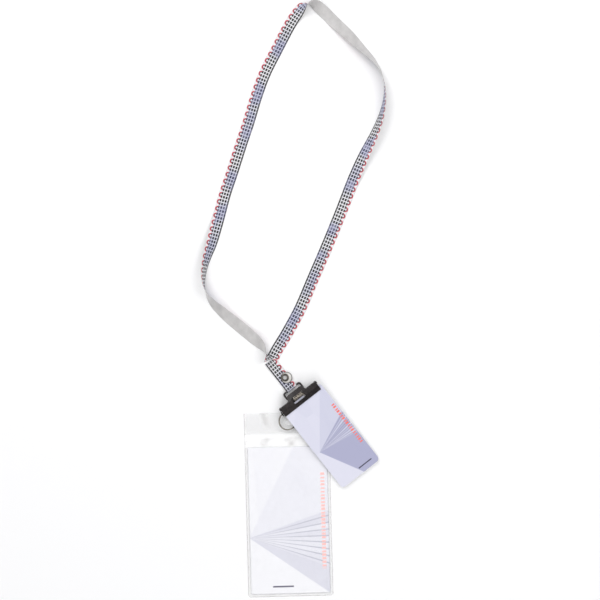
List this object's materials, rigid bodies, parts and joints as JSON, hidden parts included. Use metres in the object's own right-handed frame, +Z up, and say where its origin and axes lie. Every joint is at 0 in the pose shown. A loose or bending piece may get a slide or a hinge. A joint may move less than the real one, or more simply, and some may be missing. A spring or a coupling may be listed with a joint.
{
  "type": "lanyard badge holder",
  "caption": "Neck lanyard laid flat: a woven ribbon loop ends in an eyelet and wire loop on a bulldog clip gripping a badge card, with a clear ticket pouch on a split ring.",
  "frame": {"origin": "centre of the eyelet's hole, on the table plane that the lanyard lies on", "axes": "+Z up from the table along the eyelet's axis, +Y towards the neck end of the loop, +X to the right"},
  "size_m": [0.2299, 0.7452, 0.0161],
  "materials": {
    "ribbon": "printed satin weave",
    "nickel": "polished nickel plate",
    "dark_steel": "dark lacquer",
    "card": "laminated card",
    "film": "soft clear vinyl",
    "ticket": "coated paper"
  },
  "bodies": {
    "clip": {"back_jaw": "dark_steel", "hinge_pin": "dark_steel", "clip_spring": "nickel", "ring_eye": "dark_steel"},
    "front_jaw": {"front_jaw": "dark_steel"},
    "loop_ring": {"loop_ring": "dark_steel"},
    "strap": {"neck_ribbon": "ribbon", "ribbon_tail": "ribbon", "eyelet": "nickel", "eyelet_washer": "nickel", "eyelet_back": "nickel"},
    "card": {"badge_card": "card"},
    "pouch": {"pouch_back": "film", "pouch_header": "film", "pouch_front": "film"},
    "split_ring": {"split_ring": "nickel"},
    "ticket": {"ticket": "ticket"}
  },
  "joints": [
    {"name": "clip_open", "type": "hinge", "parent": "clip", "child": "front_jaw", "pos_m": [0.01724, -0.02206, 0.0095], "axis": [-0.788, -0.6157, 0], "range_deg": [0, 20], "stiffness_Nm_per_rad": 0.2, "springref_deg": -34.38},
    {"name": "loop_swing", "type": "hinge", "parent": "clip", "child": "loop_ring", "pos_m": [0.01508, -0.01931, 0.0022], "axis": [0.788, 0.6157, 0], "range_deg": [0, 30]},
    {"name": "strap_swing", "type": "hinge", "parent": "loop_ring", "child": "strap", "pos_m": [0.00954, -0.01221, 0.0022], "axis": [0.788, 0.6157, 0], "range_deg": [0, 60]},
    {"name": "card_slide", "type": "slide", "parent": "clip", "child": "card", "axis": [0.6148, -0.7869, -0.0523], "range_m": [0, 0.006]},
    {"name": "pouch_swing", "type": "hinge", "parent": "clip", "child": "pouch", "pos_m": [-0.00318, -0.04563, 0.0045], "axis": [0, 0, 1], "range_deg": [-10, 20]},
    {"name": "ring_turn", "type": "hinge", "parent": "pouch", "child": "split_ring", "pos_m": [0.0032, -0.0542, 0.00375], "axis": [0.2273, 0.0827, 0.9703], "continuous": true},
    {"name": "ticket_slide", "type": "slide", "parent": "pouch", "child": "ticket", "axis": [-0.0262, 0.9997, 0], "range_m": [0, 0.015]}
  ]
}
